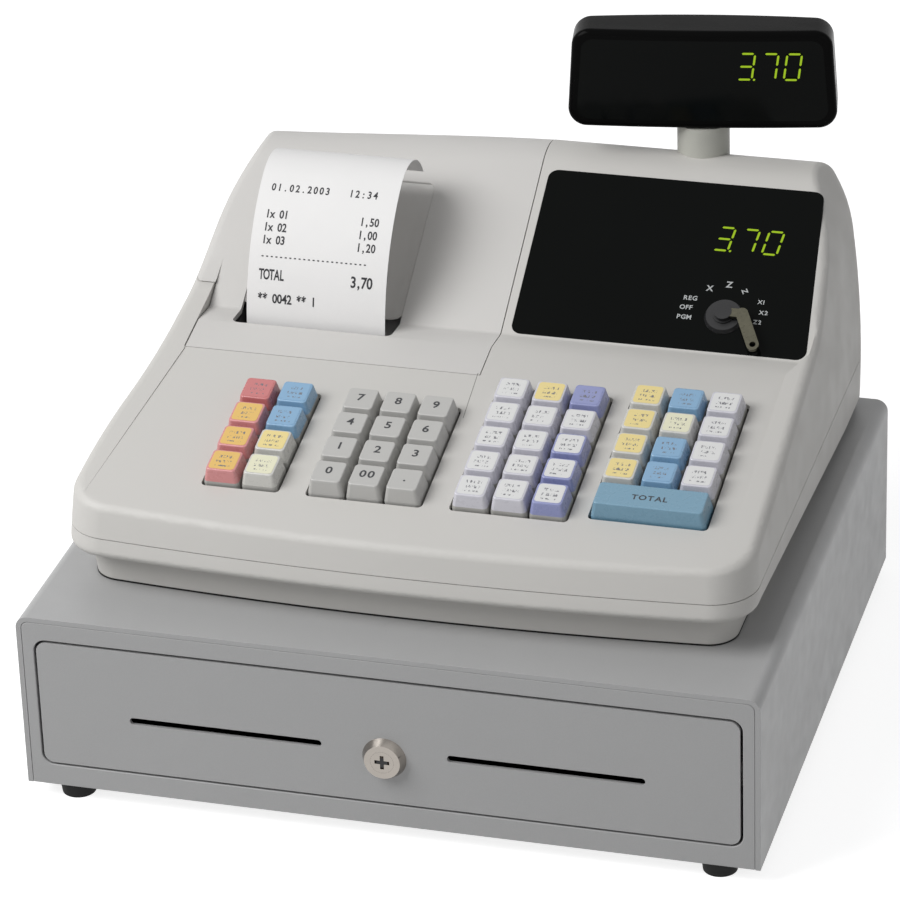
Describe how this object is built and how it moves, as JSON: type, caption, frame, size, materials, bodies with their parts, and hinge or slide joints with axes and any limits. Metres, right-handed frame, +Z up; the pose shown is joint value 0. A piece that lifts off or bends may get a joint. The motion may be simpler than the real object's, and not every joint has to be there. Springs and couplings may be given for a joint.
{
  "type": "ticket register",
  "caption": "Electronic ticket register with keyboard, receipt printer, operator window, mode switch and turning customer display, standing on a steel cash drawer.",
  "frame": {"origin": "on the counter, under the middle of the whole outline", "axes": "+Z up, the drawer's face towards -Y, +X to the right when facing the keyboard"},
  "size_m": [0.35, 0.3268, 0.2877],
  "materials": {
    "drawer_paint": "satin",
    "drawer_steel": "satin",
    "case_plastic": "fine grain",
    "cover_plastic": "fine grain",
    "tray_plastic": "fine grain",
    "dark_plastic": "satin",
    "gear_plastic": "satin",
    "steel": "satin",
    "lock_chrome": "polished",
    "coil_paint": "satin",
    "foot_rubber": "matt",
    "grey_rubber": "matt",
    "board_green": "satin",
    "window_black": "polished",
    "shell_black": "satin",
    "key_grey": "polished",
    "key_white": "polished",
    "key_red": "polished",
    "key_blue": "polished",
    "key_yellow": "polished",
    "paper": "smooth"
  },
  "bodies": {
    "register": {"drawer_cover": "drawer_paint", "drawer_face_frame": "drawer_paint", "drawer_base": "drawer_paint", "rubber_feet": "foot_rubber", "screws": "steel", "slide_rails": "drawer_steel", "latch_solenoid": "coil_paint", "ejector_spring": "steel", "upper_case": "case_plastic", "lower_case": "case_plastic", "main_board": "board_green", "transformer": "coil_paint", "power_inlet": "dark_plastic", "display_window": "window_black", "display_board": "board_green", "mode_switch": "dark_plastic", "key_frame": "dark_plastic", "key_membrane": "grey_rubber", "printer_frame": "dark_plastic", "feed_motor": "coil_paint", "receipt_paper": "paper"},
    "drawer": {"drawer_front": "drawer_paint", "drawer_tub": "drawer_steel", "cash_tray": "tray_plastic", "lock_body": "lock_chrome"},
    "clips": {"note_clips": "steel"},
    "lock": {"lock_cylinder": "lock_chrome"},
    "latch": {"latch_plunger": "steel"},
    "cover": {"printer_cover": "cover_plastic"},
    "platen": {"platen_roller": "grey_rubber", "platen_gear": "gear_plastic"},
    "pinion": {"motor_pinion": "gear_plastic"},
    "roll": {"paper_roll": "paper"},
    "mode": {"mode_rotor": "steel", "mode_key": "steel"},
    "post": {"display_post": "cover_plastic"},
    "customer_display": {"customer_shell": "shell_black", "customer_window": "window_black", "customer_board": "board_green"},
    "key_0": {"key_0": "key_grey"},
    "key_1": {"key_1": "key_grey"},
    "key_2": {"key_2": "key_grey"},
    "key_3": {"key_3": "key_grey"},
    "key_4": {"key_4": "key_grey"},
    "key_5": {"key_5": "key_grey"},
    "key_6": {"key_6": "key_grey"},
    "key_7": {"key_7": "key_grey"},
    "key_8": {"key_8": "key_grey"},
    "key_9": {"key_9": "key_grey"},
    "key_00": {"key_00": "key_grey"},
    "key_point": {"key_point": "key_grey"},
    "key_total": {"key_total": "key_blue"},
    "keys_left_1": {"keys_left_1": "key_red"},
    "keys_left_2": {"keys_left_2": "key_blue"},
    "keys_middle_1": {"keys_middle_1": "key_white"},
    "keys_middle_2": {"keys_middle_2": "key_white"},
    "keys_middle_3": {"keys_middle_3": "key_blue"},
    "keys_right_1": {"keys_right_1": "key_yellow"},
    "keys_right_2": {"keys_right_2": "key_blue"},
    "keys_right_3": {"keys_right_3": "key_white"}
  },
  "joints": [
    {"name": "drawer_slide", "type": "slide", "parent": "register", "child": "drawer", "axis": [0, -1, 0], "range_m": [0, 0.215]},
    {"name": "clips_hinge", "type": "hinge", "parent": "drawer", "child": "clips", "pos_m": [0, 0.09111, 0.0691], "axis": [-1, 0, 0], "range_deg": [0, 24]},
    {"name": "lock_turn", "type": "hinge", "parent": "drawer", "child": "lock", "pos_m": [0, -0.15939, 0.044], "axis": [0, 1, 0], "range_deg": [0, 90]},
    {"name": "latch_rise", "type": "slide", "parent": "register", "child": "latch", "axis": [0, 0, 1], "range_m": [0, 0.005]},
    {"name": "cover_hinge", "type": "hinge", "parent": "register", "child": "cover", "pos_m": [0, 0.15621, 0.174], "axis": [-1, 0, 0], "range_deg": [0, 70]},
    {"name": "platen_turn", "type": "hinge", "parent": "register", "child": "platen", "pos_m": [-0.083, 0.02811, 0.149], "axis": [1, 0, 0], "continuous": true},
    {"name": "pinion_turn", "type": "hinge", "parent": "register", "child": "pinion", "pos_m": [-0.04, 0.04084, 0.13627], "axis": [1, 0, 0], "continuous": true},
    {"name": "roll_turn", "type": "hinge", "parent": "register", "child": "roll", "pos_m": [-0.083, 0.09061, 0.139], "axis": [1, 0, 0], "continuous": true},
    {"name": "mode_turn", "type": "hinge", "parent": "register", "child": "mode", "pos_m": [0.1114, 0.05266, 0.17685], "axis": [0, -0.5225, 0.8526], "range_deg": [0, 150]},
    {"name": "post_drop", "type": "slide", "parent": "register", "child": "post", "axis": [0, 0, -1], "range_m": [0, 0.0115]},
    {"name": "display_swivel", "type": "hinge", "parent": "post", "child": "customer_display", "pos_m": [0.081, 0.14361, 0.24], "axis": [0, 0, 1], "range_deg": [-170, 170]},
    {"name": "key_0_press", "type": "slide", "parent": "register", "child": "key_0", "axis": [0, 0.1939, -0.981], "range_m": [0, 0.003], "stiffness_N_per_m": 200, "springref_m": -0.0015},
    {"name": "key_1_press", "type": "slide", "parent": "register", "child": "key_1", "axis": [0, 0.1939, -0.981], "range_m": [0, 0.003], "stiffness_N_per_m": 200, "springref_m": -0.0015},
    {"name": "key_2_press", "type": "slide", "parent": "register", "child": "key_2", "axis": [0, 0.1939, -0.981], "range_m": [0, 0.003], "stiffness_N_per_m": 200, "springref_m": -0.0015},
    {"name": "key_3_press", "type": "slide", "parent": "register", "child": "key_3", "axis": [0, 0.1939, -0.981], "range_m": [0, 0.003], "stiffness_N_per_m": 200, "springref_m": -0.0015},
    {"name": "key_4_press", "type": "slide", "parent": "register", "child": "key_4", "axis": [0, 0.1939, -0.981], "range_m": [0, 0.003], "stiffness_N_per_m": 200, "springref_m": -0.0015},
    {"name": "key_5_press", "type": "slide", "parent": "register", "child": "key_5", "axis": [0, 0.1939, -0.981], "range_m": [0, 0.003], "stiffness_N_per_m": 200, "springref_m": -0.0015},
    {"name": "key_6_press", "type": "slide", "parent": "register", "child": "key_6", "axis": [0, 0.1939, -0.981], "range_m": [0, 0.003], "stiffness_N_per_m": 200, "springref_m": -0.0015},
    {"name": "key_7_press", "type": "slide", "parent": "register", "child": "key_7", "axis": [0, 0.1939, -0.981], "range_m": [0, 0.003], "stiffness_N_per_m": 200, "springref_m": -0.0015},
    {"name": "key_8_press", "type": "slide", "parent": "register", "child": "key_8", "axis": [0, 0.1939, -0.981], "range_m": [0, 0.003], "stiffness_N_per_m": 200, "springref_m": -0.0015},
    {"name": "key_9_press", "type": "slide", "parent": "register", "child": "key_9", "axis": [0, 0.1939, -0.981], "range_m": [0, 0.003], "stiffness_N_per_m": 200, "springref_m": -0.0015},
    {"name": "key_00_press", "type": "slide", "parent": "register", "child": "key_00", "axis": [0, 0.1939, -0.981], "range_m": [0, 0.003], "stiffness_N_per_m": 200, "springref_m": -0.0015},
    {"name": "key_point_press", "type": "slide", "parent": "register", "child": "key_point", "axis": [0, 0.1939, -0.981], "range_m": [0, 0.003], "stiffness_N_per_m": 200, "springref_m": -0.0015},
    {"name": "key_total_press", "type": "slide", "parent": "register", "child": "key_total", "axis": [0, 0.1939, -0.981], "range_m": [0, 0.003], "stiffness_N_per_m": 200, "springref_m": -0.0015},
    {"name": "keys_left_1_press", "type": "slide", "parent": "register", "child": "keys_left_1", "axis": [0, 0.1939, -0.981], "range_m": [0, 0.003], "stiffness_N_per_m": 200, "springref_m": -0.0015},
    {"name": "keys_left_2_press", "type": "slide", "parent": "register", "child": "keys_left_2", "axis": [0, 0.1939, -0.981], "range_m": [0, 0.003], "stiffness_N_per_m": 200, "springref_m": -0.0015},
    {"name": "keys_middle_1_press", "type": "slide", "parent": "register", "child": "keys_middle_1", "axis": [0, 0.1939, -0.981], "range_m": [0, 0.003], "stiffness_N_per_m": 200, "springref_m": -0.0015},
    {"name": "keys_middle_2_press", "type": "slide", "parent": "register", "child": "keys_middle_2", "axis": [0, 0.1939, -0.981], "range_m": [0, 0.003], "stiffness_N_per_m": 200, "springref_m": -0.0015},
    {"name": "keys_middle_3_press", "type": "slide", "parent": "register", "child": "keys_middle_3", "axis": [0, 0.1939, -0.981], "range_m": [0, 0.003], "stiffness_N_per_m": 200, "springref_m": -0.0015},
    {"name": "keys_right_1_press", "type": "slide", "parent": "register", "child": "keys_right_1", "axis": [0, 0.1939, -0.981], "range_m": [0, 0.003], "stiffness_N_per_m": 200, "springref_m": -0.0015},
    {"name": "keys_right_2_press", "type": "slide", "parent": "register", "child": "keys_right_2", "axis": [0, 0.1939, -0.981], "range_m": [0, 0.003], "stiffness_N_per_m": 200, "springref_m": -0.0015},
    {"name": "keys_right_3_press", "type": "slide", "parent": "register", "child": "keys_right_3", "axis": [0, 0.1939, -0.981], "range_m": [0, 0.003], "stiffness_N_per_m": 200, "springref_m": -0.0015}
  ],
  "couplings": [
    {"joint": "pinion_turn", "follows": "platen_turn", "ratio": -2},
    {"joint": "roll_turn", "follows": "platen_turn", "ratio": -0.2}
  ]
}
